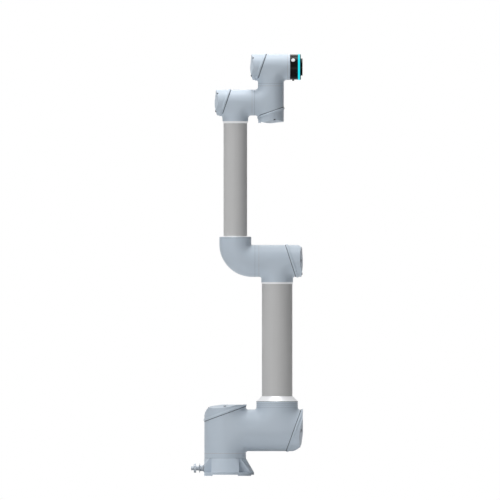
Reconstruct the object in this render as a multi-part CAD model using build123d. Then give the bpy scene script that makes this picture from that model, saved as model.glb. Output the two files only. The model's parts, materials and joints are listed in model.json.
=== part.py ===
from build123d import *
import os
from dataclasses import dataclass
from math import cos, radians, sin, sqrt, tan

# Six-axis collaborative welding robot arm, in millimetres.
# The origin is the centre of the base's mounting face, +Z is up and +X points to the tool flange.
# Six joint modules of three sizes are joined by two tubes and an elbow pipe. Each module is a tee:
# its barrel lies along the joint's axis, with an end cap on one end and the output flange on the other,
# and its stub carries the next link.

# Joint axes
SHOULDER_HEIGHT = 164.0
UPPER_ARM_LENGTH = 610.0
FOREARM_LENGTH = 570.0
WRIST_RISE = 128.0
SHOULDER_OFFSET = 187.0
ELBOW_OFFSET = 150.5
WRIST_OFFSET = 128.0

# Large module, base and shoulder: distances are along the joint's axis from the centre of the tee
LARGE_RADIUS = 75.0
LARGE_WALL = 8.0
LARGE_HOUSING_END = 83.0
LARGE_FLANGE_THICKNESS = 17.6
LARGE_TEE_FILLET = 7.0
LARGE_SEAM = 60.5
LARGE_SEAM_TILT = 20.0
LARGE_CAP_END = 93.0
LARGE_CAP_CORNER = 45.0
LARGE_THIN_DROP = 1.5
LARGE_CROWN_RISE = 1.5
LARGE_CROWN_DROP = 12.5
LARGE_CROWN_TILT = 8.0
LARGE_CAVITY_END = 62.0
LARGE_SCREW_CIRCLE = 56.0
LARGE_SCREW_HEAD = 4.5
LARGE_CABLE_BORE = 28.0
LARGE_HUB = 52.0
LARGE_MAGNET = 42.0
LARGE_SHAFT = 20.0
LARGE_GEAR_LENGTH = 30.0
LARGE_STATOR_LENGTH = 26.0

# Medium module, elbow
MEDIUM_RADIUS = 57.5
MEDIUM_WALL = 7.0
MEDIUM_HOUSING_END = 65.5
MEDIUM_FLANGE_THICKNESS = 14.1
MEDIUM_TEE_FILLET = 6.0
MEDIUM_SEAM = 49.5
MEDIUM_SEAM_TILT = 18.0
MEDIUM_CAP_END = 92.5
MEDIUM_CAP_CORNER = 23.0
MEDIUM_THIN_DROP = 5.5
MEDIUM_CROWN_RISE = 0.5
MEDIUM_CROWN_DROP = 10.5
MEDIUM_CROWN_TILT = 4.0
MEDIUM_CAVITY_END = 72.0
MEDIUM_SCREW_CIRCLE = 46.0
MEDIUM_SCREW_HEAD = 4.0
MEDIUM_CABLE_BORE = 20.0
MEDIUM_HUB = 39.0
MEDIUM_MAGNET = 31.0
MEDIUM_SHAFT = 15.0
MEDIUM_GEAR_LENGTH = 24.0
MEDIUM_STATOR_LENGTH = 22.0

# Small module, the three wrist joints
SMALL_RADIUS = 46.6
SMALL_WALL = 6.0
SMALL_HOUSING_END = 60.0
SMALL_FLANGE_THICKNESS = 8.6
SMALL_TEE_FILLET = 10.0
SMALL_SEAM = 33.0
SMALL_SEAM_TILT = 19.0
SMALL_CAP_END = 74.6
SMALL_CAP_CORNER = 10.0
SMALL_THIN_DROP = 9.5
SMALL_CROWN_RISE = 0.4
SMALL_CROWN_DROP = 12.0
SMALL_CROWN_TILT = 7.0
SMALL_CAVITY_END = 52.0
SMALL_SCREW_CIRCLE = 42.6
SMALL_SCREW_HEAD = 3.5
SMALL_CABLE_BORE = 17.0
SMALL_HUB = 31.0
SMALL_MAGNET = 24.0
SMALL_SHAFT = 12.0
SMALL_GEAR_LENGTH = 20.0
SMALL_STATOR_LENGTH = 20.0

# Shared by all modules
SEAM_GAP = 0.4
STUB_STEP = 0.3
FIT = 0.05
RUNNING = 0.05
AIR_GAP = 0.5
OUTLINE_MARGIN = 0.3
RIM_WIDTH = 8.5
RIM_PROUD = 2.5
RIM_CHAMFER = 1.8
CUP_WALL = 3.5
CUP_FLOOR = 6.0
WAVE_THICKNESS = 8.0
WAVE_MINOR_LOSS = 0.9
WAVE_CLEARANCE = 0.3
SHAFT_WALL = 4.0
SHAFT_TAIL = 8.0
SHAFT_NOSE_SHORT = 2.0
MAGNET_END_GAP = 1.5
BOARD_THICKNESS = 3.0
BOARD_MARGIN = 1.0
BOARD_SIDES = 8
SCREW_COUNT = 4
SCREW_DEPTH = 5.0
SCREW_HEAD_HEIGHT = 3.6
SCREW_POCKET_GAP = 1.5
SOCKET_SHARE = 0.5
SOCKET_DEPTH = 2.0
WRIST_SCREW_ANGLE = 45.0
WRIST_2_SCREW_ANGLE = 73.0
SQUARE_SCREW_ANGLE = 0.0

# Upper arm
UPPER_STUB = 104.6
UPPER_TUBE_RADIUS = 55.0
UPPER_TUBE_WALL = 5.0
UPPER_CONE_HEIGHT = 18.0
UPPER_CONE_LIP = 1.5
ELBOW_STUB = 76.6
UPPER_RING_HEIGHT = 6.5
UPPER_RING_LIP = 0.6

# Forearm
ELBOW_BEND_RADIUS = 60.0
ELBOW_TOP = 86.0
ELBOW_WALL = 8.0
FOREARM_TUBE_RADIUS = 42.5
FOREARM_TUBE_WALL = 4.5
LOWER_RING_RADIUS = 54.5
LOWER_RING_HEIGHT = 4.3
LOWER_RING_EDGE = 1.2
LOWER_RING_PLUG = 15.0
WRIST_1_STUB = 67.0
UPPER_RING_FOREARM_HEIGHT = 7.5
UPPER_RING_FOREARM_LIP = 0.6

# Base
BASE_RADIUS = 104.0
BASE_PLATE_TOP = 13.0
BASE_PAD_HEIGHT = 4.0
BASE_PAD_INNER = 45.5
BASE_POCKET_WALL = 50.0
BASE_FLAT = 75.5
BASE_BOLT_CIRCLE = 170.0
BASE_BOLT_RADIUS = 4.5
BASE_BOLT_COUNT = 4
BASE_CAVITY_RADIUS = 60.0
BASE_ROOF = 10.0
CONNECTOR_HEIGHT = 27.7
CONNECTOR_SHANK_RADIUS = 9.0
CONNECTOR_FLARE_RADIUS = 15.0
CONNECTOR_FLARE_LENGTH = 4.5
CONNECTOR_BODY_RADIUS = 10.5
CONNECTOR_BODY_LENGTH = 10.5
CONNECTOR_RING_RADIUS = 17.0
CONNECTOR_RING_LENGTH = 5.0
CONNECTOR_NECK_RADIUS = 8.0
CONNECTOR_NECK_LENGTH = 9.0
CONNECTOR_DISC_RADIUS = 16.0
CONNECTOR_DISC_LENGTH = 9.0
CONNECTOR_END_RADIUS = 7.5
CONNECTOR_END_LENGTH = 9.5
CONNECTOR_EDGE = 1.0

# Tool end
TOOL_BODY_RADIUS = 45.6
TOOL_BODY_LENGTH = 28.5
LIGHT_RING_WIDTH = 7.3
LIGHT_RING_INNER = 40.0
FRONT_LIP_RADIUS = 46.2
FRONT_LIP_LENGTH = 3.2
TOOL_BOSS_RADIUS = 31.2
TOOL_BOSS_LENGTH = 6.0
PILOT_RADIUS = 15.75
PILOT_DEPTH = 6.0
TOOL_BOLT_CIRCLE = 50.0
TOOL_BOLT_RADIUS = 2.5
TOOL_BOLT_DEPTH = 8.0
TOOL_BOLT_COUNT = 4
DOWEL_RADIUS = 3.0
BUTTON_RADIUS = 7.0
BUTTON_ANGLE = 33.0
BUTTON_PLACE = 11.3
BUTTON_LENGTH = 6.0
BUTTON_PROUD = 1.0
BUTTON_EDGE = 0.8
BUTTON_TRAVEL = 1.5
BUTTON_CLEARANCE = 0.3
KNOB_RADIUS = 3.5
KNOB_PROUD = 4.0
KNOB_ROOT = 6.0


@dataclass(frozen=True)
class Module:
    """Sizes of one joint module. Its frame has +Z towards the output flange and +X along the stub."""

    radius: float
    wall: float
    housing_end: float
    flange_thickness: float
    tee_fillet: float
    seam: float
    seam_tilt: float
    cap_end: float
    cap_corner: float
    thin_drop: float
    crown_rise: float
    crown_drop: float
    crown_tilt: float
    cavity_end: float
    screw_circle: float
    screw_head: float
    cable_bore: float
    hub: float
    magnet: float
    shaft: float
    gear_length: float
    stator_length: float

    @property
    def bore(self):
        return self.radius - self.wall

    @property
    def flange_end(self):
        return self.housing_end + SEAM_GAP + self.flange_thickness

    @property
    def gear_start(self):
        return self.housing_end - self.gear_length

    @property
    def stator_start(self):
        return self.gear_start - self.stator_length

    @property
    def hub_start(self):
        return self.gear_start + SEAM_GAP

    @property
    def reach(self):
        """Longer than the module in any direction, for half-spaces that cut it."""
        return 6 * self.radius


LARGE = Module(
    radius=LARGE_RADIUS,
    wall=LARGE_WALL,
    housing_end=LARGE_HOUSING_END,
    flange_thickness=LARGE_FLANGE_THICKNESS,
    tee_fillet=LARGE_TEE_FILLET,
    seam=LARGE_SEAM,
    seam_tilt=LARGE_SEAM_TILT,
    cap_end=LARGE_CAP_END,
    cap_corner=LARGE_CAP_CORNER,
    thin_drop=LARGE_THIN_DROP,
    crown_rise=LARGE_CROWN_RISE,
    crown_drop=LARGE_CROWN_DROP,
    crown_tilt=LARGE_CROWN_TILT,
    cavity_end=LARGE_CAVITY_END,
    screw_circle=LARGE_SCREW_CIRCLE,
    screw_head=LARGE_SCREW_HEAD,
    cable_bore=LARGE_CABLE_BORE,
    hub=LARGE_HUB,
    magnet=LARGE_MAGNET,
    shaft=LARGE_SHAFT,
    gear_length=LARGE_GEAR_LENGTH,
    stator_length=LARGE_STATOR_LENGTH,
)

MEDIUM = Module(
    radius=MEDIUM_RADIUS,
    wall=MEDIUM_WALL,
    housing_end=MEDIUM_HOUSING_END,
    flange_thickness=MEDIUM_FLANGE_THICKNESS,
    tee_fillet=MEDIUM_TEE_FILLET,
    seam=MEDIUM_SEAM,
    seam_tilt=MEDIUM_SEAM_TILT,
    cap_end=MEDIUM_CAP_END,
    cap_corner=MEDIUM_CAP_CORNER,
    thin_drop=MEDIUM_THIN_DROP,
    crown_rise=MEDIUM_CROWN_RISE,
    crown_drop=MEDIUM_CROWN_DROP,
    crown_tilt=MEDIUM_CROWN_TILT,
    cavity_end=MEDIUM_CAVITY_END,
    screw_circle=MEDIUM_SCREW_CIRCLE,
    screw_head=MEDIUM_SCREW_HEAD,
    cable_bore=MEDIUM_CABLE_BORE,
    hub=MEDIUM_HUB,
    magnet=MEDIUM_MAGNET,
    shaft=MEDIUM_SHAFT,
    gear_length=MEDIUM_GEAR_LENGTH,
    stator_length=MEDIUM_STATOR_LENGTH,
)

SMALL = Module(
    radius=SMALL_RADIUS,
    wall=SMALL_WALL,
    housing_end=SMALL_HOUSING_END,
    flange_thickness=SMALL_FLANGE_THICKNESS,
    tee_fillet=SMALL_TEE_FILLET,
    seam=SMALL_SEAM,
    seam_tilt=SMALL_SEAM_TILT,
    cap_end=SMALL_CAP_END,
    cap_corner=SMALL_CAP_CORNER,
    thin_drop=SMALL_THIN_DROP,
    crown_rise=SMALL_CROWN_RISE,
    crown_drop=SMALL_CROWN_DROP,
    crown_tilt=SMALL_CROWN_TILT,
    cavity_end=SMALL_CAVITY_END,
    screw_circle=SMALL_SCREW_CIRCLE,
    screw_head=SMALL_SCREW_HEAD,
    cable_bore=SMALL_CABLE_BORE,
    hub=SMALL_HUB,
    magnet=SMALL_MAGNET,
    shaft=SMALL_SHAFT,
    gear_length=SMALL_GEAR_LENGTH,
    stator_length=SMALL_STATOR_LENGTH,
)

# Places derived from the axes
ELBOW_HEIGHT = SHOULDER_HEIGHT + UPPER_ARM_LENGTH
FOREARM_X = SHOULDER_OFFSET - ELBOW_OFFSET
WRIST_HEIGHT = ELBOW_HEIGHT + FOREARM_LENGTH
TOOL_HEIGHT = WRIST_HEIGHT + WRIST_RISE
WRIST_X = FOREARM_X + WRIST_OFFSET
BASE_TOP = SHOULDER_HEIGHT - LARGE.flange_end

UP = (0, 0, 1)
DOWN = (0, 0, -1)
RIGHT = (1, 0, 0)
LEFT = (-1, 0, 0)


def rod(radius, start, end):
    """Cylinder about Z from start to end."""
    return Pos(0, 0, (start + end) / 2) * Cylinder(radius, end - start)


def pipe(outer, inner, start, end):
    """Ring or tube about Z from start to end."""
    return rod(outer, start, end) - rod(inner, start, end)


def turned(points):
    """Solid of revolution about Z from its half section, given as (radius, height) points."""
    section = Plane.XZ * make_face(Polyline(*points, close=True))
    return revolve(section, axis=Axis.Z)


# The tee and its cap


def cap_side(m, shift=0.0):
    """Half-space beyond the slanted seam, in the cap's frame: +Z out through the cap, +X along the stub."""
    block = Pos(0, 0, m.reach / 2) * Box(m.reach, m.reach, m.reach)
    return Pos(0, 0, m.seam) * Rot(0, -m.seam_tilt, 0) * Pos(0, 0, shift) * block


def housing(m, stub_end):
    """Cast tee: barrel and stub blended by a fillet, cut along the seam and bored for the drive and its cable."""
    barrel = rod(m.radius, -m.cap_end, m.housing_end)
    stub = Rot(0, 90, 0) * rod(m.radius - STUB_STEP, 0, stub_end)
    tee = barrel + stub
    crease = [e for e in tee.edges() if e.geom_type not in (GeomType.CIRCLE, GeomType.LINE)]
    tee = fillet(crease, m.tee_fillet)
    tee -= Rot(180, 0, 0) * cap_side(m)
    tee -= rod(m.bore, -m.cap_end, m.housing_end)
    return tee - Rot(0, 90, 0) * rod(m.cable_bore, 0, stub_end)


def crown_radius(m):
    return (m.radius**2 + m.crown_drop**2) / (2 * m.crown_drop)


def end_height(m, x, y):
    """Height of the cap's end over a point, the lowest of its flat, its crown and its rounded thick corner."""
    ball = crown_radius(m)
    slope = tan(radians(m.crown_tilt))
    crown = m.cap_end + m.crown_rise + x * slope - (ball - sqrt(ball**2 - y**2))
    into_corner = -x - (m.radius + OUTLINE_MARGIN - m.cap_corner)
    round_off = 0.0
    if into_corner > 0:
        round_off = m.cap_corner - sqrt(m.cap_corner**2 - into_corner**2)
    return min(m.cap_end - round_off, crown)


def cap_outline(m):
    """The cap seen along Y: a flat end, a round corner on its thick side and a slow fall to its thin side."""
    edge = m.radius + OUTLINE_MARGIN
    corner_start = m.cap_corner - edge
    corner_middle = (
        corner_start - m.cap_corner * sin(radians(45)),
        m.cap_end - m.cap_corner * (1 - cos(radians(45))),
    )
    fall_radius = (edge**2 + m.thin_drop**2) / (2 * m.thin_drop)
    half = edge / 2
    fall_middle = (half, m.cap_end - (fall_radius - sqrt(fall_radius**2 - half**2)))
    corner = ThreePointArc((-edge, m.cap_end - m.cap_corner), corner_middle, (corner_start, m.cap_end))
    flat = Line((corner_start, m.cap_end), (0, m.cap_end))
    fall = ThreePointArc((0, m.cap_end), fall_middle, (edge, m.cap_end - m.thin_drop))
    sides = Polyline((edge, m.cap_end - m.thin_drop), (edge, 0), (-edge, 0), (-edge, m.cap_end - m.cap_corner))
    face = make_face(Curve() + [corner, flat, fall, sides])
    return extrude(Plane.XZ * face, edge, both=True)


def cap_crown(m):
    """Long cylinder whose top is the cap's crown: lowest at the front and back, and tilted to the thin side."""
    ball = crown_radius(m)
    lie = Pos(0, 0, -ball) * Rot(0, 90, 0) * Cylinder(ball, m.reach)
    return Pos(0, 0, m.cap_end + m.crown_rise) * Rot(0, -m.crown_tilt, 0) * lie


def cap_rim(m):
    """Raised band with bevelled edges that follows the seam."""
    band = rod(m.radius + RIM_PROUD, 0, 2 * m.cap_end) & (cap_side(m) - cap_side(m, RIM_WIDTH))
    edges = [e for e in band.edges() if e.geom_type != GeomType.LINE]
    return chamfer(edges, RIM_CHAMFER) & rod(m.reach, 0, m.cap_end)


def screw_places(m, first_angle):
    """Seat of each cap screw, in the cap's frame."""
    for place in range(SCREW_COUNT):
        angle = radians(first_angle + place * 360 / SCREW_COUNT)
        x = m.screw_circle * cos(angle)
        y = m.screw_circle * sin(angle)
        yield Pos(x, y, end_height(m, x, y) - SCREW_DEPTH)


def cap(m, first_angle):
    """End cap with its rim, hollow towards the drive, and a pocket for each screw."""
    shell = rod(m.radius, 0, m.cap_end) & cap_outline(m) & cap_crown(m) & cap_side(m)
    shell += cap_rim(m)
    shell -= rod(m.bore, 0, m.cavity_end)
    pocket = rod(m.screw_head + SCREW_POCKET_GAP, 0, m.cap_end)
    for place in screw_places(m, first_angle):
        shell -= place * pocket
    return Rot(180, 0, 0) * shell


def cap_screws(m, first_angle):
    """Socket-head screws on their seats."""
    socket = extrude(RegularPolygon(m.screw_head * SOCKET_SHARE, 6), SOCKET_DEPTH)
    head = rod(m.screw_head, 0, SCREW_HEAD_HEIGHT) - Pos(0, 0, SCREW_HEAD_HEIGHT - SOCKET_DEPTH) * socket
    return [Rot(180, 0, 0) * place * head for place in screw_places(m, first_angle)]


# The drive inside each tee


def output_flange(m):
    """Painted ring that turns with the next link, with the strain-wave cup on its hub."""
    ring = rod(m.radius, m.housing_end + SEAM_GAP, m.flange_end)
    hub = rod(m.hub, m.hub_start, m.housing_end + SEAM_GAP)
    cup = rod(m.hub - CUP_WALL, m.hub_start, m.housing_end - CUP_FLOOR)
    return ring + hub - cup - rod(m.shaft + RUNNING, m.hub_start, m.flange_end)


def gear_ring(m):
    """Circular spline fixed in the housing, which also carries the hub's bearing face."""
    return pipe(m.bore - FIT, m.hub + RUNNING, m.gear_start, m.housing_end)


def stator(m):
    """Motor winding, stacked against the gear ring."""
    return pipe(m.bore - FIT, m.magnet + AIR_GAP, m.stator_start, m.gear_start)


def rotor(m):
    """Hollow shaft with the magnet ring and the oval wave generator."""
    tail = m.stator_start - BOARD_THICKNESS - SHAFT_TAIL
    shaft = rod(m.shaft, tail, m.flange_end - SHAFT_NOSE_SHORT)
    magnet = rod(m.magnet, m.stator_start, m.gear_start - MAGNET_END_GAP)
    long_half = m.hub - CUP_WALL - WAVE_CLEARANCE
    oval = Ellipse(long_half, long_half - WAVE_MINOR_LOSS)
    wave = Pos(0, 0, m.hub_start) * extrude(oval, WAVE_THICKNESS)
    return shaft + magnet + wave - rod(m.shaft - SHAFT_WALL, tail, m.flange_end)


def drive_board(m):
    """Eight-sided control board on the back of the stator, round the shaft."""
    plate = extrude(RegularPolygon(m.bore - BOARD_MARGIN, BOARD_SIDES), BOARD_THICKNESS)
    hole = rod(m.shaft + AIR_GAP, 0, BOARD_THICKNESS)
    return Pos(0, 0, m.stator_start - BOARD_THICKNESS) * (plate - hole)


# Links between the modules


def upper_tube():
    start = SHOULDER_HEIGHT + UPPER_STUB
    end = ELBOW_HEIGHT - ELBOW_STUB
    return Pos(SHOULDER_OFFSET, 0, 0) * pipe(
        UPPER_TUBE_RADIUS, UPPER_TUBE_RADIUS - UPPER_TUBE_WALL, start, end
    )


def upper_tube_cone():
    """Bright cone from the shoulder's stub down to the tube's size."""
    inner = UPPER_TUBE_RADIUS + FIT
    cone = turned(
        [
            (inner, 0),
            (LARGE_RADIUS - STUB_STEP, 0),
            (inner + UPPER_CONE_LIP, UPPER_CONE_HEIGHT),
            (inner, UPPER_CONE_HEIGHT),
        ]
    )
    return Pos(SHOULDER_OFFSET, 0, SHOULDER_HEIGHT + UPPER_STUB) * cone


def upper_tube_ring():
    """Bright ring between the tube and the elbow joint's stub."""
    inner = UPPER_TUBE_RADIUS + FIT
    ring = turned(
        [
            (inner, 0),
            (inner + UPPER_RING_LIP, 0),
            (MEDIUM_RADIUS - STUB_STEP, UPPER_RING_HEIGHT),
            (inner, UPPER_RING_HEIGHT),
        ]
    )
    return Pos(SHOULDER_OFFSET, 0, ELBOW_HEIGHT - ELBOW_STUB - UPPER_RING_HEIGHT) * ring


def elbow_pipe():
    """Cast pipe that turns from the elbow joint's axis up to the forearm."""
    start = SHOULDER_OFFSET - MEDIUM.flange_end
    bend_x = FOREARM_X + ELBOW_BEND_RADIUS
    bend_z = ELBOW_HEIGHT + ELBOW_BEND_RADIUS
    section = Circle(MEDIUM_RADIUS) - Circle(MEDIUM_RADIUS - ELBOW_WALL)
    face = Plane(origin=(bend_x, 0, ELBOW_HEIGHT), x_dir=(0, 1, 0), z_dir=RIGHT) * section
    level = extrude(face, start - bend_x, dir=RIGHT)
    bend = revolve(face, axis=Axis((bend_x, 0, bend_z), (0, 1, 0)), revolution_arc=90)
    upright = pipe(MEDIUM_RADIUS, MEDIUM_RADIUS - ELBOW_WALL, bend_z, ELBOW_HEIGHT + ELBOW_TOP)
    return level + bend + Pos(FOREARM_X, 0, 0) * upright


def forearm_lower_ring():
    """Bright collar on the elbow pipe's rim, with a plug in the pipe that holds the tube."""
    inner = FOREARM_TUBE_RADIUS + FIT
    plug = MEDIUM_RADIUS - ELBOW_WALL - FIT
    ring = turned(
        [
            (inner, -LOWER_RING_PLUG),
            (plug, -LOWER_RING_PLUG),
            (plug, 0),
            (LOWER_RING_RADIUS, 0),
            (LOWER_RING_RADIUS, LOWER_RING_EDGE),
            (inner, LOWER_RING_HEIGHT),
        ]
    )
    return Pos(FOREARM_X, 0, ELBOW_HEIGHT + ELBOW_TOP) * ring


def forearm_tube():
    start = ELBOW_HEIGHT + ELBOW_TOP - LOWER_RING_PLUG
    end = WRIST_HEIGHT - WRIST_1_STUB
    return Pos(FOREARM_X, 0, 0) * pipe(
        FOREARM_TUBE_RADIUS, FOREARM_TUBE_RADIUS - FOREARM_TUBE_WALL, start, end
    )


def forearm_upper_ring():
    """Bright ring between the tube and the first wrist joint's stub."""
    inner = FOREARM_TUBE_RADIUS + FIT
    ring = turned(
        [
            (inner, 0),
            (inner + UPPER_RING_FOREARM_LIP, 0),
            (SMALL_RADIUS - STUB_STEP, UPPER_RING_FOREARM_HEIGHT),
            (inner, UPPER_RING_FOREARM_HEIGHT),
        ]
    )
    return Pos(FOREARM_X, 0, WRIST_HEIGHT - WRIST_1_STUB - UPPER_RING_FOREARM_HEIGHT) * ring


# Base


def corners(inner, outer, bottom, top):
    """Square blocks in the four corners, from inner to outer along X and Y."""
    size = outer - inner
    middle = (inner + outer) / 2
    block = Pos(0, 0, (bottom + top) / 2) * Box(size, size, top - bottom)
    return [Pos(x, y, 0) * block for x in (-middle, middle) for y in (-middle, middle)]


def base_casting():
    """Cone on a round plate, with a pocket over each bolt, four pads and a flat for the connector."""
    cone = turned([(0, BASE_PLATE_TOP), (BASE_RADIUS, BASE_PLATE_TOP), (LARGE_RADIUS, BASE_TOP), (0, BASE_TOP)])
    for pocket in corners(BASE_POCKET_WALL, BASE_RADIUS, BASE_PLATE_TOP, BASE_TOP):
        cone -= pocket
    plate = rod(BASE_RADIUS, BASE_PAD_HEIGHT, BASE_PLATE_TOP)
    foot = rod(BASE_RADIUS, 0, BASE_PAD_HEIGHT)
    casting = cone + plate
    for pad in corners(BASE_PAD_INNER, BASE_RADIUS, 0, BASE_PAD_HEIGHT):
        casting += foot & pad
    waste = BASE_RADIUS - BASE_FLAT
    casting -= Pos(-BASE_FLAT - waste / 2, 0, BASE_TOP / 2) * Box(waste, 2 * BASE_RADIUS, BASE_TOP)
    casting -= rod(BASE_CAVITY_RADIUS, 0, BASE_TOP - BASE_ROOF)
    casting -= rod(LARGE_CABLE_BORE, 0, BASE_TOP)
    for place in PolarLocations(BASE_BOLT_CIRCLE / 2, BASE_BOLT_COUNT, 360 / BASE_BOLT_COUNT / 2):
        casting -= place * rod(BASE_BOLT_RADIUS, 0, BASE_PLATE_TOP)
    socket = rod(CONNECTOR_SHANK_RADIUS + FIT, 0, BASE_RADIUS)
    return casting - Pos(0, 0, CONNECTOR_HEIGHT) * Rot(0, -90, 0) * socket


def base_connector():
    """Round cable connector: flared foot on the flat, coupling ring, neck and end cap."""
    wall = BASE_FLAT - BASE_CAVITY_RADIUS
    flare = CONNECTOR_FLARE_LENGTH
    body = flare + CONNECTOR_BODY_LENGTH
    ring = body + CONNECTOR_RING_LENGTH
    neck = ring + CONNECTOR_NECK_LENGTH
    disc = neck + CONNECTOR_DISC_LENGTH
    end = disc + CONNECTOR_END_LENGTH
    profile = [
        (0, -wall),
        (CONNECTOR_SHANK_RADIUS, -wall),
        (CONNECTOR_SHANK_RADIUS, 0),
        (CONNECTOR_FLARE_RADIUS, 0),
        (CONNECTOR_BODY_RADIUS, flare),
        (CONNECTOR_BODY_RADIUS, body),
        (CONNECTOR_RING_RADIUS, body),
        (CONNECTOR_RING_RADIUS, body + CONNECTOR_EDGE),
        (CONNECTOR_NECK_RADIUS, ring),
        (CONNECTOR_NECK_RADIUS, neck),
        (CONNECTOR_DISC_RADIUS, neck),
        (CONNECTOR_DISC_RADIUS, disc - CONNECTOR_EDGE),
        (CONNECTOR_END_RADIUS, disc),
        (CONNECTOR_END_RADIUS, end),
        (0, end),
    ]
    return Pos(-BASE_FLAT, 0, CONNECTOR_HEIGHT) * Rot(0, -90, 0) * turned(profile)


# Tool end, in the last wrist joint's frame

TOOL_START = SMALL.flange_end
RING_START = TOOL_START + TOOL_BODY_LENGTH
LIP_START = RING_START + LIGHT_RING_WIDTH
BOSS_START = LIP_START + FRONT_LIP_LENGTH
TOOL_END = BOSS_START + TOOL_BOSS_LENGTH


def button_frame():
    """Frame on the tool body's surface at the button, with +Z straight out."""
    angle = radians(BUTTON_ANGLE)
    out = Vector(-sin(angle), -cos(angle), 0)
    return Plane(origin=out * TOOL_BODY_RADIUS + Vector(0, 0, TOOL_START + BUTTON_PLACE), x_dir=UP, z_dir=out)


def tool_body():
    """Black body of the tool end: a spigot for the light ring, a button pocket and a small connector below."""
    body = rod(TOOL_BODY_RADIUS, TOOL_START, RING_START) + rod(LIGHT_RING_INNER - FIT, RING_START, LIP_START)
    pocket_floor = BUTTON_PROUD - BUTTON_LENGTH - BUTTON_TRAVEL - BUTTON_CLEARANCE
    body -= button_frame() * rod(BUTTON_RADIUS + BUTTON_CLEARANCE, pocket_floor, BUTTON_LENGTH)
    knob = rod(KNOB_RADIUS, TOOL_BODY_RADIUS - KNOB_ROOT, TOOL_BODY_RADIUS + KNOB_PROUD)
    return body + Pos(0, 0, TOOL_START + BUTTON_PLACE) * Rot(0, 90, 0) * knob


def light_ring():
    """Ring of light around the spigot."""
    return pipe(SMALL_RADIUS, LIGHT_RING_INNER, RING_START, LIP_START)


def tool_flange():
    """Mounting flange with a pilot recess, four threaded holes and a dowel hole."""
    flange = rod(FRONT_LIP_RADIUS, LIP_START, BOSS_START) + rod(TOOL_BOSS_RADIUS, BOSS_START, TOOL_END)
    flange -= rod(PILOT_RADIUS, TOOL_END - PILOT_DEPTH, TOOL_END)
    step = 360 / TOOL_BOLT_COUNT
    for place in PolarLocations(TOOL_BOLT_CIRCLE / 2, TOOL_BOLT_COUNT, step / 2):
        flange -= place * rod(TOOL_BOLT_RADIUS, TOOL_END - TOOL_BOLT_DEPTH, TOOL_END)
    dowel = rod(DOWEL_RADIUS, TOOL_END - TOOL_BOLT_DEPTH, TOOL_END)
    return flange - Pos(0, -TOOL_BOLT_CIRCLE / 2, 0) * dowel


def tool_button():
    """Round hand-guiding button, slightly proud of the tool body."""
    button = rod(BUTTON_RADIUS, BUTTON_PROUD - BUTTON_LENGTH, BUTTON_PROUD)
    top = button.edges().group_by(Axis.Z)[-1]
    return button_frame() * chamfer(top, BUTTON_EDGE)


def save(name, shape):
    export_step(shape, f"parts/{name}.step")


def save_module(name, m, frame, stub_end, first_angle):
    """Writes the pieces of one joint module, and gives back its cap screws."""
    save(f"{name}_housing", frame * housing(m, stub_end))
    save(f"{name}_cap", frame * cap(m, first_angle))
    save(f"{name}_output_flange", frame * output_flange(m))
    save(f"{name}_gear_ring", frame * gear_ring(m))
    save(f"{name}_stator", frame * stator(m))
    save(f"{name}_rotor", frame * rotor(m))
    save(f"{name}_drive_board", frame * drive_board(m))
    return [frame * screw for screw in cap_screws(m, first_angle)]


def main():
    os.makedirs("parts", exist_ok=True)

    shoulder_gap = SHOULDER_OFFSET - LARGE.flange_end
    base_frame = Plane(origin=(0, 0, SHOULDER_HEIGHT), x_dir=RIGHT, z_dir=DOWN)
    shoulder_frame = Plane(origin=(SHOULDER_OFFSET, 0, SHOULDER_HEIGHT), x_dir=UP, z_dir=LEFT)
    elbow_frame = Plane(origin=(SHOULDER_OFFSET, 0, ELBOW_HEIGHT), x_dir=DOWN, z_dir=LEFT)
    wrist_1_frame = Plane(origin=(FOREARM_X, 0, WRIST_HEIGHT), x_dir=DOWN, z_dir=RIGHT)
    wrist_2_frame = Plane(origin=(WRIST_X, 0, WRIST_HEIGHT), x_dir=LEFT, z_dir=UP)
    wrist_3_frame = Plane(origin=(WRIST_X, 0, TOOL_HEIGHT), x_dir=DOWN, z_dir=RIGHT)

    base_screws = save_module("base_joint", LARGE, base_frame, shoulder_gap, SQUARE_SCREW_ANGLE)
    shoulder_screws = save_module("shoulder_joint", LARGE, shoulder_frame, UPPER_STUB, SQUARE_SCREW_ANGLE)
    elbow_screws = save_module("elbow_joint", MEDIUM, elbow_frame, ELBOW_STUB, SQUARE_SCREW_ANGLE)
    wrist_1_screws = save_module("wrist_1", SMALL, wrist_1_frame, WRIST_1_STUB, WRIST_SCREW_ANGLE)
    wrist_2_stub = WRIST_OFFSET - SMALL.flange_end
    wrist_2_screws = save_module("wrist_2", SMALL, wrist_2_frame, wrist_2_stub, WRIST_2_SCREW_ANGLE)
    wrist_3_stub = WRIST_RISE - SMALL.flange_end
    wrist_3_screws = save_module("wrist_3", SMALL, wrist_3_frame, wrist_3_stub, WRIST_SCREW_ANGLE)

    save("base_cap_screws", Compound(base_screws))
    save("upper_arm_cap_screws", Compound(shoulder_screws + elbow_screws))
    save("wrist_1_cap_screws", Compound(wrist_1_screws))
    save("wrist_2_cap_screws", Compound(wrist_2_screws))
    save("wrist_3_cap_screws", Compound(wrist_3_screws))

    save("base_casting", base_casting())
    save("base_connector", base_connector())
    save("upper_tube", upper_tube())
    save("upper_tube_cone", upper_tube_cone())
    save("upper_tube_ring", upper_tube_ring())
    save("elbow_pipe", elbow_pipe())
    save("forearm_lower_ring", forearm_lower_ring())
    save("forearm_tube", forearm_tube())
    save("forearm_upper_ring", forearm_upper_ring())

    save("tool_body", wrist_3_frame * tool_body())
    save("light_ring", wrist_3_frame * light_ring())
    save("tool_flange", wrist_3_frame * tool_flange())
    save("tool_button", wrist_3_frame * tool_button())


main()
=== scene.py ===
# %% [markdown]
# This scene dresses a six-joint welding robot arm. Its castings, tubes and drive parts come
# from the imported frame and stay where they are. The script gives each of them a finish, adds
# the fine pieces that are easier in Blender, and lights the arm as in a plain studio.

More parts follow.
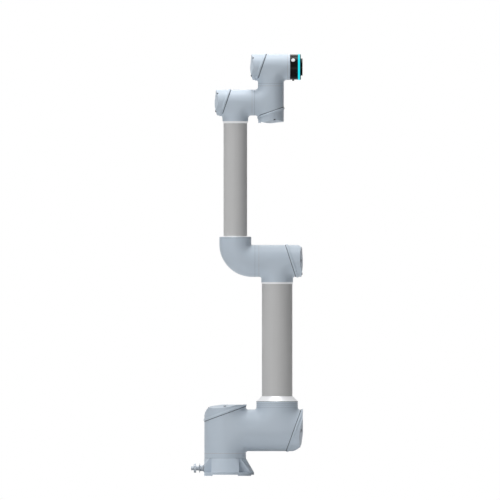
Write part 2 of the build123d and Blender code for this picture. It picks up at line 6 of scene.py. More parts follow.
# %% Load the frame
import json
from math import cos, pi, radians, sin, sqrt, tan

import bmesh
import bpy
from mathutils import Matrix, Vector


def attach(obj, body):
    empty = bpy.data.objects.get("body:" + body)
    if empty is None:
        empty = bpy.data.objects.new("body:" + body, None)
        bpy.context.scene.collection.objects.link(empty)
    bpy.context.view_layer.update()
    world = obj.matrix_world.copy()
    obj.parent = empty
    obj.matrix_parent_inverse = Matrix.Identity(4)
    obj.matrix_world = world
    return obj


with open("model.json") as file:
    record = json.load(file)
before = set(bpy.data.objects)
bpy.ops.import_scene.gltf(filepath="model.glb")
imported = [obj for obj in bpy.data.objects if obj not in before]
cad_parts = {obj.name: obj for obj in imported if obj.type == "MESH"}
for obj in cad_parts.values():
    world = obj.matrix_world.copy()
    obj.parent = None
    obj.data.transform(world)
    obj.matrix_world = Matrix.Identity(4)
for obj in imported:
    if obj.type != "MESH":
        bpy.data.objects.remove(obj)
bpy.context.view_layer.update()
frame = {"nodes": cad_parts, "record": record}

nodes = frame["nodes"]

# %% [markdown]
# The photograph is taken level and from far away, so its level and upright lines stay parallel.
# A camera without perspective gives the same. One picture width is 1.8 m, and the camera looks
# along +Y at the middle of the arm's own plane.

# %% Camera
VIEW_WIDTH = 1.8
VIEW_CENTRE = Vector((0.0893, -4.0, 0.8132))

camera_data = bpy.data.cameras.new("camera")
camera_data.type = "ORTHO"
camera_data.ortho_scale = VIEW_WIDTH
camera = bpy.data.objects.new("camera", camera_data)
camera.location = VIEW_CENTRE
camera.rotation_euler = (radians(90), 0, 0)
bpy.context.scene.collection.objects.link(camera)
bpy.context.scene.camera = camera
bpy.context.scene.view_settings.view_transform = "Standard"
print("camera at", tuple(VIEW_CENTRE))

# %% [markdown]
# A shader graph reads better as sums than as boxes and wires. This small class holds one
# socket. Plus, times and power on it add a Math node each, also with a plain number on the
# left. node() adds any other kind. Its settings come first, because some of them change which
# sockets the node has.


# %% A socket with arithmetic
class Wire:
    """One output socket of a node tree, or a tree that has none yet."""

    def __init__(self, tree, socket=None):
        self.tree = tree
        self.socket = socket

    def node(self, kind, settings=None, inputs=None, output=0):
        """Adds a node, sets it up, feeds its sockets, and gives one of its outputs."""
        made = self.tree.nodes.new(kind)
        for name, value in (settings or {}).items():
            setattr(made, name, value)
        for name, value in (inputs or {}).items():
            if isinstance(value, Wire):
                self.tree.links.new(value.socket, made.inputs[name])
            else:
                made.inputs[name].default_value = value
        return Wire(self.tree, made.outputs[output] if made.outputs else None)

    def maths(self, operation, *others):
        inputs = dict(enumerate((self, *others)))
        return self.node("ShaderNodeMath", {"operation": operation}, inputs)

    def __add__(self, other):
        return self.maths("ADD", other)

    __radd__ = __add__

    def __mul__(self, other):
        return self.maths("MULTIPLY", other)

    __rmul__ = __mul__

    def __pow__(self, other):
        return self.maths("POWER", other)


print("arithmetic on sockets is ready")

# %% [markdown]
# A colour is written here as it looks on a screen, from 0 to 255. Blender works in linear
# light, so each is converted once, by the curve of the sRGB standard. Two colours are blended
# by a Mix node. A Math node would turn them grey.

# %% Colours
MIX_FIRST, MIX_SECOND, MIX_RESULT = 6, 7, 2
OPAQUE = 1.0


def linear(red, green, blue):
    """Linear values of a colour that is given as a screen shows it."""
    levels = (red / 255, green / 255, blue / 255)
    return tuple(v / 12.92 if v < 0.0392 else ((v + 0.055) / 1.055) ** 2.4 for v in levels)


def mix(wire, share, first, second):
    """A colour between two others."""
    inputs = {"Factor": share, MIX_FIRST: (*first, OPAQUE), MIX_SECOND: (*second, OPAQUE)}
    return wire.node("ShaderNodeMix", {"data_type": "RGBA"}, inputs, MIX_RESULT)


print("middle grey in linear light", round(linear(128, 128, 128)[0], 3))

# %% [markdown]
# No real surface is quite even, and noise is what all the finishes here share. It is read at
# the piece's own coordinates, so it stays on the piece when the arm moves. Its scale is in
# cells per metre. A stretch below 1 draws the cells out along that axis.

# %% Noise and bump
OBJECT_COORDINATES = "Object"


def noise(wire, scale, detail=2.0, stretch=(1, 1, 1)):
    """Noise from 0 to 1, in cells of about 1 / scale metres."""
    place = wire.node("ShaderNodeTexCoord", output=OBJECT_COORDINATES)
    place = wire.node("ShaderNodeMapping", None, {"Vector": place, "Scale": stretch})
    inputs = {"Vector": place, "Scale": scale, "Detail": detail}
    return wire.node("ShaderNodeTexNoise", None, inputs)


def bump(wire, height, depth):
    """A normal from a height between 0 and 1, that many metres deep."""
    inputs = {"Height": height, "Strength": 1.0, "Distance": depth}
    return wire.node("ShaderNodeBump", None, inputs)


print("noise is read on", OBJECT_COORDINATES, "coordinates")

# %% [markdown]
# Every finish of the arm is one Principled shader. What differs is what feeds its sockets, so
# a finish is written as a function that gives those, and this helper builds the material.


# %% A finish
def empty_tree(owner):
    """The emptied node tree of a material or a world, to build on."""
    owner.use_nodes = True
    owner.node_tree.nodes.clear()
    return Wire(owner.node_tree)


def surface(name, build):
    """A material whose Principled shader gets the inputs that build(wire) returns."""
    material = bpy.data.materials.new(name)
    wire = empty_tree(material)
    shader = wire.node("ShaderNodeBsdfPrincipled", None, build(wire))
    wire.node("ShaderNodeOutputMaterial", None, {"Surface": shader})
    print("finish", name, "nodes", len(material.node_tree.nodes))
    return material


# %% [markdown]
# The castings are sprayed in a pale grey-blue. Sprayed paint is never quite flat: its
# thickness drifts slowly over the casting, and its skin has a fine orange peel. The drift is
# in the colour and the gloss, and the peel in the bump.

# %% Paint
PAINT = linear(194, 205, 216)
PAINT_SHADE = linear(188, 200, 212)
DRIFT_SCALE = 7.0
PEEL_SCALE = 900.0
PEEL_DEPTH = 0.00002


def paint(wire):
    drift = noise(wire, DRIFT_SCALE)
    return {
        "Base Color": mix(wire, drift, PAINT, PAINT_SHADE),
        "Roughness": 0.36 + 0.1 * drift,
        "Specular IOR Level": 0.2,
        "Normal": bump(wire, noise(wire, PEEL_SCALE), PEEL_DEPTH),
    }


paint_finish = surface("paint", paint)

# %% [markdown]
# The two long tubes are drawn aluminium with a dull grey skin. Drawing leaves fine streaks
# along the tube, which noise stretched along Z gives. In the photograph they show no metal
# shine, so they aren't metallic here, and their specular level is low.

# %% Tube
TUBE = linear(202, 202, 202)
TUBE_STREAK = linear(194, 194, 194)
STREAK_SCALE = 700.0
ALONG_TUBE = (1, 1, 0.004)
STREAK_DEPTH = 0.00001


def drawn_tube(wire):
    streaks = noise(wire, STREAK_SCALE, stretch=ALONG_TUBE)
    return {
        "Base Color": mix(wire, streaks, TUBE, TUBE_STREAK),
        "Roughness": 0.42 + 0.12 * streaks,
        "Specular IOR Level": 0.15,
        "Normal": bump(wire, streaks, STREAK_DEPTH),
    }


tube_finish = surface("drawn_tube", drawn_tube)

# %% [markdown]
# The cone and the rings at the ends of the tubes are turned and left bright. A lathe leaves
# rings round the axis, so this noise is fine along Z and long across it. They look nearly
# white, so a little metal in the shader is enough.

# %% Collars
COLLAR = linear(246, 247, 249)
COLLAR_LINE = linear(236, 238, 241)
LATHE_SCALE = 1500.0
ROUND_THE_AXIS = (0.002, 0.002, 1)
LATHE_DEPTH = 0.00001


def turned_metal(wire):
    lines = noise(wire, LATHE_SCALE, stretch=ROUND_THE_AXIS)
    return {
        "Base Color": mix(wire, lines, COLLAR, COLLAR_LINE),
        "Roughness": 0.3 + 0.1 * lines,
        "Metallic": 0.25,
        "Normal": bump(wire, lines, LATHE_DEPTH),
    }


collar_finish = surface("turned_metal", turned_metal)

# %% [markdown]
# The strain-wave gears are bare ground steel. Grinding leaves a fine grain that catches the
# light, so both the colour and the roughness follow one noise.

# %% Steel
STEEL = linear(176, 179, 184)
STEEL_LINE = linear(150, 153, 158)
GRAIN_SCALE = 600.0


def steel(wire):
    grain = noise(wire, GRAIN_SCALE)
    return {
        "Base Color": mix(wire, grain, STEEL, STEEL_LINE),
        "Roughness": 0.3 + 0.15 * grain,
        "Metallic": 1.0,
    }


steel_finish = surface("steel", steel)

# %% [markdown]
# The rotor's shaft and magnets are darker than the gear and carry a thin film of oil. Oil is
# smooth where it is thick, so the film changes the roughness as well as the colour.

# %% Rotor
ROTOR = linear(112, 114, 120)
ROTOR_OIL = linear(84, 86, 92)
FILM_SCALE = 90.0
FILM_DETAIL = 4.0


def oiled_steel(wire):
    film = noise(wire, FILM_SCALE, FILM_DETAIL)
    return {
        "Base Color": mix(wire, film, ROTOR, ROTOR_OIL),
        "Roughness": 0.22 + 0.2 * film,
        "Metallic": 1.0,
    }


rotor_finish = surface("oiled_steel", oiled_steel)

# %% [markdown]
# The screws are blackened, as cap screws mostly are, and their black also stands in for the shade
# in their pockets, so the dark dots in the pale caps are partly the screws' own colour and partly
# painted shade.
# Wear bares a few small spots. The third power of the noise keeps those rare.

# %% Screws
SCREW_BLACK_AND_POCKET_SHADE = linear(26, 27, 30)
SCREW_WORN = linear(52, 53, 57)
WEAR_SCALE = 500.0
WEAR_DETAIL = 4.0
WEAR_DEPTH = 0.00003


def blackened_steel_and_pocket_shade(wire):
    wear = noise(wire, WEAR_SCALE, WEAR_DETAIL)
    return {
        # black of the screws: partly their own colour, partly painted shade of the pockets
        "Base Color": mix(wire, wear ** 3, SCREW_BLACK_AND_POCKET_SHADE, SCREW_WORN),
        "Roughness": 0.45 + 0.2 * wear,
        "Metallic": 0.3,
        "Normal": bump(wire, wear, WEAR_DEPTH),
    }


screw_and_pocket_shade_finish = surface("blackened_steel_and_pocket_shade", blackened_steel_and_pocket_shade)

# %% [markdown]
# The motor's winding is varnished copper wire that lies in close rows round the axis. The rows
# come from one sine wave for each axis, multiplied, so that they show on a winding that lies
# in any direction. Modelled wires would cost many faces for something inside a housing.

# %% Winding
COPPER = linear(196, 118, 66)
COPPER_SHADOW = linear(112, 58, 28)
WIRE_PITCH = 0.0011
WIRE_DEPTH = 0.0002
VARNISH_SCALE = 120.0


def winding(wire):
    place = wire.node("ShaderNodeTexCoord", output=OBJECT_COORDINATES)
    rows = 1.0
    for axis in range(3):
        along = wire.node("ShaderNodeSeparateXYZ", None, {"Vector": place}, output=axis)
        phase = along * (2 * pi / WIRE_PITCH)
        rows = rows * (0.5 + 0.5 * phase.maths("SINE"))
    varnish = noise(wire, VARNISH_SCALE)
    height = 0.7 * rows + 0.3 * varnish
    return {
        "Base Color": mix(wire, height, COPPER_SHADOW, COPPER),
        "Roughness": 0.3 + 0.2 * varnish,
        "Metallic": 0.7,
        "Normal": bump(wire, height, WIRE_DEPTH),
    }


winding_finish = surface("copper_winding", winding)

# %% [markdown]
# A control board is glass-fibre laminate under a green solder mask. Copper tracks stand under
# the mask as slightly lighter lines. The edges between Voronoi cells look like them.

# %% Board
MASK = linear(14, 74, 46)
TRACK = linear(46, 122, 78)
TRACK_CELLS = 240.0
TRACK_WIDTH = 0.08
TRACK_DEPTH = 0.00004
MASK_SCALE = 80.0


def circuit_board(wire):
    place = wire.node("ShaderNodeTexCoord", output=OBJECT_COORDINATES)
    settings = {"feature": "DISTANCE_TO_EDGE"}
    edge = wire.node("ShaderNodeTexVoronoi", settings, {"Vector": place, "Scale": TRACK_CELLS})
    track = edge.maths("LESS_THAN", TRACK_WIDTH)
    return {
        "Base Color": mix(wire, track, MASK, TRACK),
        "Roughness": 0.3 + 0.1 * noise(wire, MASK_SCALE),
        "Normal": bump(wire, track, TRACK_DEPTH),
    }


board_finish = surface("circuit_board", circuit_board)

# %% [markdown]
# The cable connector is nickel-plated brass. Nickel hazes in the air, so it is a dull middle
# grey with patches that are a little rougher.

# %% Connector
NICKEL = linear(188, 195, 203)
NICKEL_DULL = linear(160, 168, 176)
HAZE_SCALE = 130.0
HAZE_DETAIL = 3.0


def nickel(wire):
    haze = noise(wire, HAZE_SCALE, HAZE_DETAIL)
    return {
        "Base Color": mix(wire, haze, NICKEL, NICKEL_DULL),
        "Roughness": 0.35 + 0.2 * haze,
        "Metallic": 0.3,
    }


connector_finish = surface("nickel", nickel)

# %% [markdown]
# The tool end is anodised black with a trace of dust. Its reflections are held low with the
# specular level, so that it reads as black with only the lamps' bands on it.

# %% Black
BLACK = linear(9, 8, 8)
BLACK_DUST = linear(16, 14, 14)
DUST_SCALE = 60.0
DUST_DEPTH = 0.00002


def black_gloss(wire):
    dust = noise(wire, DUST_SCALE)
    return {
        "Base Color": mix(wire, dust, BLACK, BLACK_DUST),
        "Roughness": 0.16 + 0.1 * dust,
        "Specular IOR Level": 0.08,
        "Normal": bump(wire, dust, DUST_DEPTH),
    }


black_finish = surface("black_gloss", black_gloss)

# %% [markdown]
# The status ring is lit from inside, so its colour comes from emission. It stays near that
# colour under the lamps, because its base colour is dark and reflects little of them.

# %% Cyan light
CYAN = linear(16, 232, 250)
CYAN_CORE = linear(40, 236, 251)
LENS = linear(10, 70, 78)
CORE_SCALE = 40.0


def cyan_light(wire):
    return {
        "Base Color": (*LENS, OPAQUE),
        "Emission Color": mix(wire, noise(wire, CORE_SCALE), CYAN, CYAN_CORE),
        "Emission Strength": 0.92,
        "Roughness": 0.5,
        "Specular IOR Level": 0.1,
    }


cyan_finish = surface("cyan_light", cyan_light)

# %% [markdown]
# The guide button is a pale moulded plastic cap, smoother than the paint. Fingers leave it a
# little darker and duller in patches.

# %% Button
BUTTON = linear(226, 230, 234)
BUTTON_TOUCHED = linear(208, 212, 216)
TOUCH_SCALE = 150.0
TOUCH_DEPTH = 0.00002


def button_plastic(wire):
    touched = noise(wire, TOUCH_SCALE)
    return {
        "Base Color": mix(wire, touched, BUTTON, BUTTON_TOUCHED),
        "Roughness": 0.3 + 0.15 * touched,
        "Normal": bump(wire, touched, TOUCH_DEPTH),
    }


button_finish = surface("button_plastic", button_plastic)

# %% [markdown]
# Four trims of the arm share one matt finish and differ only in colour: brown rubber seals in the
# joints' gaps, dark grey bands of painted shade under the caps, black rings of painted shade round
# the screws, and the grey lines where two castings meet. The finish is that of rubber, which is
# matt and holds dust, so each has a clean and a dusty colour.

# %% Rubber and painted shade
RUBBER_AND_SHADE_TRIMS = {
    "seal_rubber": (linear(150, 112, 84), linear(176, 150, 128)),
    # painted shade under the caps' rims and at the foot of the cone
    "painted_shade_band": (linear(52, 57, 64), linear(72, 78, 86)),
    "joint_line": (linear(128, 137, 147), linear(146, 155, 165)),
    # painted shade in the screw pockets
    "pocket_painted_shade": (linear(24, 26, 30), linear(40, 43, 48)),
}
RUBBER_SCALE = 260.0
RUBBER_DETAIL = 3.0
RUBBER_DEPTH = 0.00004


def rubber_and_painted_shade(clean, dusty):
    def build(wire):
        dust = noise(wire, RUBBER_SCALE, RUBBER_DETAIL)
        return {
            "Base Color": mix(wire, dust, clean, dusty),
            "Roughness": 0.65 + 0.2 * dust,
            "Normal": bump(wire, dust, RUBBER_DEPTH),
        }

    return build


seal_finish, painted_shade_finish, line_finish, pocket_shade_finish = (
    surface(name, rubber_and_painted_shade(clean, dusty)) for name, (clean, dusty) in RUBBER_AND_SHADE_TRIMS.items()
)

# %% [markdown]
# The record names one material slot for each solid of the arm. Each slot gets its finish here.
# A solid's mesh is left as it is, and only its material is set.

# %% Dress the nodes
FINISHES = {
    "paint": paint_finish,
    "tube_aluminium": tube_finish,
    "collar_aluminium": collar_finish,
    "screw_steel": screw_and_pocket_shade_finish,
    "gear_steel": steel_finish,
    "rotor_steel": rotor_finish,
    "winding": winding_finish,
    "circuit_board": board_finish,
    "connector_metal": connector_finish,
    "tool_black": black_finish,
    "flange_black": black_finish,
    "light": cyan_finish,
    "button_plastic": button_finish,
}
for part in frame["record"]["subparts"]:
    mesh = nodes[part["node"]].data
    mesh.materials.clear()
    mesh.materials.append(FINISHES[part["material_slot"]])

# %% [markdown]
# Each joint is a tee of two crossing pipes, in one of three sizes. In metres, radius is the
# barrel's, neck the rounding between barrel and stub, seam the distance from the centre to the
# cap's seam on the axis, end the casting's end on the other side, and flange the end of the
# output flange. The seam is tilted by so many degrees.

# %% Three sizes of joint
LARGE = {"radius": 0.075, "neck": 0.007, "seam": 0.0605, "tilt": 20, "end": 0.083, "flange": 0.101}
MEDIUM = {
    "radius": 0.0575, "neck": 0.006, "seam": 0.0495, "tilt": 18, "end": 0.0655, "flange": 0.080
}
SMALL = {"radius": 0.0466, "neck": 0.010, "seam": 0.033, "tilt": 19, "end": 0.060, "flange": 0.069}
for size in (LARGE, MEDIUM, SMALL):
    print("joint of", round(2000 * size["radius"], 1), "mm")

# %% [markdown]
# The fine pieces of all six joints are made once, in the joint's own frame: +Z goes to the
# output flange and +X along the stub. So the table gives each joint's size, its centre and
# where those two point, and joint_frame() turns that into one matrix.

# %% The six joints
UPPER_ARM_X, FOREARM_X, WRIST_X = 0.187, 0.0365, 0.1645
SHOULDER_Z, ELBOW_Z, WRIST_Z, TOOL_Z = 0.164, 0.774, 1.344, 1.472
UP, DOWN, RIGHT, LEFT = (0, 0, 1), (0, 0, -1), (1, 0, 0), (-1, 0, 0)
JOINTS = {
    "base_joint": (LARGE, (0, 0, SHOULDER_Z), RIGHT, DOWN),
    "shoulder_joint": (LARGE, (UPPER_ARM_X, 0, SHOULDER_Z), UP, LEFT),
    "elbow_joint": (MEDIUM, (UPPER_ARM_X, 0, ELBOW_Z), DOWN, LEFT),
    "wrist_1": (SMALL, (FOREARM_X, 0, WRIST_Z), DOWN, RIGHT),
    "wrist_2": (SMALL, (WRIST_X, 0, WRIST_Z), LEFT, UP),
    "wrist_3": (SMALL, (WRIST_X, 0, TOOL_Z), DOWN, RIGHT),
}
members = frame["record"]["behaviour"]["bodies"]
body_of = {node: body for body, its_nodes in members.items() for node in its_nodes}


def joint_frame(centre, along_stub, along_axis):
    """Matrix from a joint's own frame to the arm's."""
    x, z = Vector(along_stub), Vector(along_axis)
    return Matrix.Translation(centre) @ Matrix((x, z.cross(x), z)).transposed().to_4x4()


# %% [markdown]
# A finished piece is one mesh object at the origin, with its place in the mesh. It rides on a body
# of the arm, so that it follows the joints. It gets its finish as its material; the record has no
# slot for rubber.

# %% Finish a piece
WELD = 1e-7
SHARP_FROM = radians(30)


def finish_piece(name, bm, place, body, finish):
    """Turns a bmesh into an object of the arm, with its sharp edges marked."""
    bmesh.ops.remove_doubles(bm, verts=bm.verts, dist=WELD)
    bmesh.ops.recalc_face_normals(bm, faces=bm.faces)
    bmesh.ops.transform(bm, matrix=place, verts=bm.verts)
    for face in bm.faces:
        face.smooth = True
    for edge in bm.edges:
        edge.smooth = edge.is_manifold and edge.calc_face_angle(0) < SHARP_FROM
    mesh = bpy.data.meshes.new(name)
    bm.to_mesh(mesh)
    bm.free()
    mesh.materials.append(finish)
    made = bpy.data.objects.new(name, mesh)
    bpy.context.scene.collection.objects.link(made)
    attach(made, body)
    return made


print("pieces are welded within", WELD, "m")

# %% [markdown]
# Where barrel and stub cross, the casting is filled to one smooth saddle, as in the photograph,
# where no line shows between them. A bevel can't do it, because the saddle grows from nothing
# at the sides to its full width in the corner. Its surface is the inside of a pipe bend that
# joins the two. So a thin half-round profile is spun by a quarter turn about the bend's middle.

# %% The profile of a saddle
SKIN = 0.002
LIFT = 0.00006
ARC_STEPS = 40
BEND_STEPS = 40


def half_round(radius, middle):
    """Points of a half circle that is open to +X, with its middle on X."""
    for step in range(ARC_STEPS + 1):
        angle = radians(-90 + 180 * step / ARC_STEPS)
        yield (middle - radius * cos(angle), radius * sin(angle))


def saddle_profile(radius, bend):
    """Closed outline of the skin: its distance from the bend's middle, and its width."""
    far = bend * sqrt(2) + SKIN
    outer, inner = radius + LIFT, radius - SKIN
    outside = [(far, -outer), *half_round(outer, bend), (far, outer)]
    inside = [(far, inner), *reversed(list(half_round(inner, bend))), (far, -inner)]
    return outside + inside


print("skin", SKIN, "m thick, lifted by", LIFT, "m so that it doesn't flicker with the solid")

# %% [markdown]
# The spun skin is longer than needed, so what lies beyond the joint's two axes is cut off with a
# plane each. On the cap's side a third cut, on the slant of the seam, ends it at the band of
# painted shade under the cap's rim.

# %% Saddles
RIM_SHADE_WIDTH = 0.0024


def close_holes(bm):
    rim = [edge for edge in bm.edges if edge.is_boundary]
    bmesh.ops.holes_fill(bm, edges=rim, sides=0)


def cut(bm, point, normal):
    """Cuts off what lies beyond a plane, and closes the cut."""
    plane = {"plane_co": point, "plane_no": normal, "clear_outer": True}
    bmesh.ops.bisect_plane(bm, geom=bm.verts[:] + bm.edges[:] + bm.faces[:], dist=WELD, **plane)
    close_holes(bm)


def saddle(size, side):
    """Skin on one side of the stub: 1 is the output flange's side, -1 the cap's."""
    bend = size["radius"] + size["neck"]
    profile = saddle_profile(size["radius"], bend)
    bm = bmesh.new()
    points = [bm.verts.new((bend - away, width, side * bend)) for away, width in profile]
    outline = [bm.edges.new(pair) for pair in zip(points, points[1:] + points[:1])]
    turn = {"axis": (0, 1, 0), "angle": -side * radians(90), "steps": BEND_STEPS}
    middle = (bend, 0, side * bend)
    bmesh.ops.spin(bm, geom=points + outline, cent=middle, use_duplicate=False, **turn)
    close_holes(bm)
    cut(bm, (0, 0, 0), (-1, 0, 0))
    cut(bm, (0, 0, 0), (0, 0, -side))
    if side < 0:
        tilt = radians(size["tilt"])
        cut(bm, (0, 0, RIM_SHADE_WIDTH - size["seam"]), (-sin(tilt), 0, -cos(tilt)))
    return bm


for name, (size, *where) in JOINTS.items():
    for side, end in ((1, "flange"), (-1, "cap")):
        skin = saddle(size, side)
        body = body_of[f"{name}_housing"]
        title = f"{name}_saddle_{end}"
        made = finish_piece(title, skin, joint_frame(*where), body, paint_finish)
        print(made.name, "faces", len(made.data.polygons))

# %% [markdown]
# The rest of the trims are rings: a small rectangle spun once round the axis. A full spin
# merges its last step with its first, so that the ring is closed.

# %% Rings
RING_STEPS = 128


def ring(outer, inner, start, end):
    """Ring about Z with a rectangular section."""
    bm = bmesh.new()
    corners = [(outer, start), (outer, end), (inner, end), (inner, start)]
    points = [bm.verts.new((radius, 0, height)) for radius, height in corners]
    sides = [bm.edges.new(pair) for pair in zip(points, points[1:] + points[:1])]
    turn = {"axis": (0, 0, 1), "angle": 2 * pi, "steps": RING_STEPS, "use_merge": True}
    bmesh.ops.spin(bm, geom=points + sides, cent=(0, 0, 0), use_duplicate=False, **turn)
    return bm


print("rings have", RING_STEPS, "steps")

# %% [markdown]
# Between each casting and its output flange runs a gap of 0.4 mm with a rubber seal in it. The
# photograph shows these as broken brown lines. A second, grey line is the joint between the
# flange and the next link. At the shoulder the photograph shows neither, so its seal is pale
# like the paint, and it has no line.

# %% Seals and joint lines
SEAL_GAP = 0.0004
SEAL_DEPTH = 0.003
SEAL_SUNK = 0.0002
LINE_WIDTH = 0.0007
LINE_PROUD = 0.00008
LINE_DEPTH = 0.001
PALE_JOINT = "shoulder_joint"

for name, (size, *where) in JOINTS.items():
    radius, end, flange = size["radius"], size["end"], size["flange"]
    place, body = joint_frame(*where), body_of[f"{name}_output_flange"]
    seal = ring(radius - SEAL_SUNK, radius - SEAL_DEPTH, end, end + SEAL_GAP)
    finish = paint_finish if name == PALE_JOINT else seal_finish
    finish_piece(f"{name}_seal", seal, place, body, finish)
    if name != PALE_JOINT:
        start = flange - LINE_WIDTH / 2
        line = ring(radius + LINE_PROUD, radius - LINE_DEPTH, start, start + LINE_WIDTH)
        finish_piece(f"{name}_joint_line", line, place, body, line_finish)
print("seals", len(JOINTS), "lines", len(JOINTS) - 1)

# %% [markdown]
# Under the rim of each cap a dark band of painted shade lies on the slant of the seam, where the
# rim shades the barrel. A slanted ring on a round barrel is a level ring that is sheared along the
# axis, so the same ring serves, moved by a shear matrix.

# %% Painted shade under the caps
RIM_SHADE_PROUD = 0.0003
RIM_SHADE_DEPTH = 0.002

for name, (size, *where) in JOINTS.items():
    shear = Matrix.Identity(4)
    shear[2][0] = -tan(radians(size["tilt"]))
    place = joint_frame(*where) @ shear
    radius, seam = size["radius"], size["seam"]
    # a dark band of painted shade under the cap's rim
    rim_shade_band = ring(radius + RIM_SHADE_PROUD, radius - RIM_SHADE_DEPTH, -seam, -seam + RIM_SHADE_WIDTH)
    finish_piece(f"{name}_gasket", rim_shade_band, place, body_of[f"{name}_housing"], painted_shade_finish)
print("rim_shade_bands", len(JOINTS))

# %% [markdown]
# Three fine lines run round the shoulder's stub, a darker band of painted shadow lies at the foot
# of the bright cone, where the cone shades the stub, and one runs round the mouth of the elbow
# pipe. They are thin rings as well, a hair proud of the pipe that they run round.

# %% Lines round the pipes
FINE = 0.0006
BOLD = 0.0013
STUB = (UPPER_ARM_X, LARGE["radius"] - 0.0003, "shoulder_joint_housing")
PIPE = (FOREARM_X, MEDIUM["radius"], "elbow_pipe")
PIPE_LINES = {
    "stub_line_low": (STUB, 0.2459, FINE, line_finish),
    "stub_line_middle": (STUB, 0.2545, FINE, line_finish),
    "stub_line_high": (STUB, 0.2605, FINE, line_finish),
    # painted shadow under the cone's edge
    "cone_gasket": (STUB, 0.2673, BOLD, painted_shade_finish),
    "elbow_mouth_line": (PIPE, 0.8562, FINE, line_finish),
}
for name, ((x, radius, carrier), height, width, finish) in PIPE_LINES.items():
    band = ring(radius + LINE_PROUD, radius - LINE_DEPTH, 0, width)
    place = Matrix.Translation((x, 0, height))
    finish_piece(name, band, place, body_of[carrier], finish)
print("lines round the pipes", len(PIPE_LINES))

# %% [markdown]
# The trims round the cap screws need the screws' places. The screws of a body are one mesh,
# with one island of faces for each screw, so the places are read from there. A copy of the
# mesh is merged first, because the mesh of a solid is loose triangles.

# %% Find the screws
MERGE = 1e-6
SCREWS = {
    "base_cap_screws": ("base_joint",),
    "upper_arm_cap_screws": ("shoulder_joint", "elbow_joint"),
    "wrist_1_cap_screws": ("wrist_1",),
    "wrist_2_cap_screws": ("wrist_2",),
    "wrist_3_cap_screws": ("wrist_3",),
}


def islands(mesh):
    """The connected parts of a mesh, each as the places of its vertices."""
    bm = bmesh.new()
    bm.from_mesh(mesh)
    bmesh.ops.remove_doubles(bm, verts=bm.verts, dist=MERGE)
    seen = set()
    for start in bm.verts:
        if start in seen:
            continue
        seen.add(start)
        island = [start]
        for vertex in island:
            for edge in vertex.link_edges:
                other = edge.other_vert(vertex)
                if other not in seen:
                    seen.add(other)
                    island.append(other)
        yield [vertex.co.copy() for vertex in island]
    bm.free()


screws = []
for node, joints in SCREWS.items():
    for points in islands(nodes[node].data):
        middle = sum(points, Vector()) / len(points)
        joint = min(joints, key=lambda name: (Vector(JOINTS[name][1]) - middle).length)
        screws.append((node, joint, points))
print("screws", len(screws))

# %% [markdown]
# In a joint's own frame its cap screws point along +Z: low is the top of the head and high the
# seat that it is screwed down on. Where the crown of the cap has fallen away below the seat,
# the head has no pocket. A ray from the head to the cap finds how far it hangs free.

# %% Measure a screw
RAY_START = 0.001


def box_in_frame(points, place):
    """The two corners of the box round some points, in the frame of a joint."""
    own = [place.inverted() @ point for point in points]
    return [Vector(limit(p[axis] for p in own) for axis in range(3)) for limit in (min, max)]


def gap_under(joint, place, x, y, top, seat):
    """How far the cap's surface lies under the seat, or 0 where the ray meets nothing."""
    start = place @ Vector((x, y, top - RAY_START))
    along = place.to_3x3() @ Vector((0, 0, 1))
    found, spot, *_ = nodes[f"{joint}_cap"].ray_cast(start, along)
    return (place.inverted() @ spot).z - seat if found else 0


print("rays start", RAY_START, "m above a head")

# %% [markdown]
# Each cap screw sits in a pocket, and in the photograph the pockets are dark dots. A black ring of
# painted shade lines each of them round the head, standing in for the shade in the pocket. It
# fills the pocket near the joint's middle plane, and stays lower beyond it, where the cap falls
# away. A head that hangs free gets a small painted collar instead, which joins it to the cap.

# %% Painted shade in the pockets, and collars
FULL_HEIGHT = 0.005
LOW_HEIGHT = 0.002
MIDDLE_BAND = 0.01
POCKET_GAP = 0.0015
POCKET_AIR = 0.00005
HEAD_AIR = 0.0004
COLLAR_FROM = 0.0002
COLLAR_WALL = 0.0012
COLLAR_ROOT = 0.001

for count, (node, joint, points) in enumerate(screws):
    place = joint_frame(*JOINTS[joint][1:])
    low, high = box_in_frame(points, place)
    x, y = (low.x + high.x) / 2, (low.y + high.y) / 2
    head, seat = (high.x - low.x) / 2, high.z
    bore = head + HEAD_AIR
    move = place @ Matrix.Translation((x, y, 0))
    gap = gap_under(joint, place, x, y, low.z, seat)
    if gap > COLLAR_FROM:
        collar = ring(head + COLLAR_WALL, bore, low.z, seat + gap + COLLAR_ROOT)
        title = f"screw_collar_{count}"
        finish_piece(title, collar, move, body_of[node], paint_finish)
        print("collar round", node, "screw", count, "gap in mm", round(gap * 1000, 2))
    else:
        height = FULL_HEIGHT if abs(x) < MIDDLE_BAND else LOW_HEIGHT
        # a black ring of painted shade in the pocket, round the head
        pocket_shade_ring = ring(head + POCKET_GAP - POCKET_AIR, bore, seat - height, seat)
        finish_piece(f"grommet_{count}", pocket_shade_ring, move, body_of[node], pocket_shade_finish)
print("trims round", len(screws), "screws")

# %% [markdown]
# A background is white by the kind of ray: what the camera sees, and what metal reflects or
# glass lets through, is white. The rays that light the arm don't see it, so the lamps still
# shape the arm. The floor and the world both use this switch.


# %% What sees the background
def seen_by_camera_and_gloss(wire):
    """1 for the rays that show a background, 0 for those that light the arm."""
    seen = wire.node("ShaderNodeLightPath", output="Is Camera Ray")
    for other_ray in ("Is Glossy Ray", "Is Transmission Ray"):
        seen = seen.maths("MAXIMUM", wire.node("ShaderNodeLightPath", output=other_ray))
    return seen


print("background for camera, glossy and transmission rays")

# %% [markdown]
# The arm stands on a plain pale floor, 0.2 mm under the mounting face, so that the two faces
# don't flicker. Near the arm the floor is lit and keeps its shadow. Farther out its shader is
# mixed with a white emission, so that it turns into the white of the background without an
# edge.

# %% Floor finish
FLOOR = (0.84, 0.84, 0.84)
WHITE = (1, 1, 1)
FADE_START = 0.5
FADE_END = 2.6

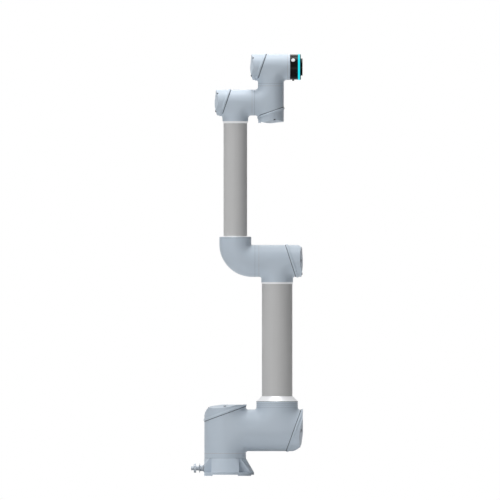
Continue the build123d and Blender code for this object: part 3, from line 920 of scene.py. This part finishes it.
floor_finish = bpy.data.materials.new("floor_paint")
wire = empty_tree(floor_finish)
place = wire.node("ShaderNodeTexCoord", output=OBJECT_COORDINATES)
distance = wire.node("ShaderNodeVectorMath", {"operation": "LENGTH"}, {0: place}, output="Value")
limits = {"Value": distance, "From Min": FADE_START, "From Max": FADE_END}
fade = wire.node("ShaderNodeMapRange", {"interpolation_type": "SMOOTHSTEP"}, limits)
share = fade * seen_by_camera_and_gloss(wire)
lit = wire.node("ShaderNodeBsdfDiffuse", None, {"Color": (*FLOOR, OPAQUE)})
white = wire.node("ShaderNodeEmission", None, {"Color": (*WHITE, OPAQUE)})
both = wire.node("ShaderNodeMixShader", None, {"Fac": share, 1: lit, 2: white})
wire.node("ShaderNodeOutputMaterial", None, {"Surface": both})
print("floor fades from", FADE_START, "to", FADE_END, "m")

# %% [markdown]
# The floor itself is one square.

# %% Floor
FLOOR_SIZE = 12.0
FLOOR_DROP = 0.0002

bm = bmesh.new()
down = Matrix.Translation((0, 0, -FLOOR_DROP))
bmesh.ops.create_grid(bm, x_segments=1, y_segments=1, size=FLOOR_SIZE / 2, matrix=down)
mesh = bpy.data.meshes.new("floor")
bm.to_mesh(mesh)
bm.free()
mesh.materials.append(floor_finish)
floor = bpy.data.objects.new("floor", mesh)
bpy.context.scene.collection.objects.link(floor)
print("floor", tuple(round(side, 2) for side in floor.dimensions))

# %% [markdown]
# The world shows the same white. The light that it casts on the arm from all round is only
# AMBIENT, which keeps the shadows from going black.

# %% World
BACKGROUND = 1.0
AMBIENT = 0.05

world = bpy.data.worlds.new("studio")
bpy.context.scene.world = world
wire = empty_tree(world)
strength = AMBIENT + (BACKGROUND - AMBIENT) * seen_by_camera_and_gloss(wire)
light = wire.node(
    "ShaderNodeBackground", None, {"Color": (*WHITE, OPAQUE), "Strength": strength}
)
wire.node("ShaderNodeOutputWorld", None, {"Surface": light})
print("background", BACKGROUND, "ambient", AMBIENT)

# %% [markdown]
# Studio light comes from large soft panels. Each lamp here is a square area lamp that looks at
# the middle of the arm from an azimuth, counted from the camera's side to the right, and an
# elevation. Most of the light comes from above, as the photograph's shading shows.

# %% Lamps
MIDDLE = Vector((0.1, 0, 0.8))
LAMP_DISTANCE = 4.0
LAMP_SIZE = 2.0
LAMPS = {
    "top": (0, 90, 108),
    "top_left": (-60, 60, 54),
    "front_left": (-30, 5, 32),
    "front_low": (-5, -8, 33),
    "back": (180, 45, 24),
}


def direction(azimuth, elevation):
    """Unit vector from the middle of the arm towards a lamp."""
    turn, rise = radians(azimuth), radians(elevation)
    return Vector((cos(rise) * sin(turn), -cos(rise) * cos(turn), sin(rise)))


for name, (azimuth, elevation, power) in LAMPS.items():
    data = bpy.data.lights.new(name, "AREA")
    data.shape = "SQUARE"
    data.size = LAMP_SIZE
    data.energy = power
    lamp = bpy.data.objects.new(name, data)
    lamp.location = MIDDLE + LAMP_DISTANCE * direction(azimuth, elevation)
    lamp.rotation_euler = (MIDDLE - lamp.location).to_track_quat("-Z", "Y").to_euler()
    bpy.context.scene.collection.objects.link(lamp)
print("lamps", len(LAMPS))
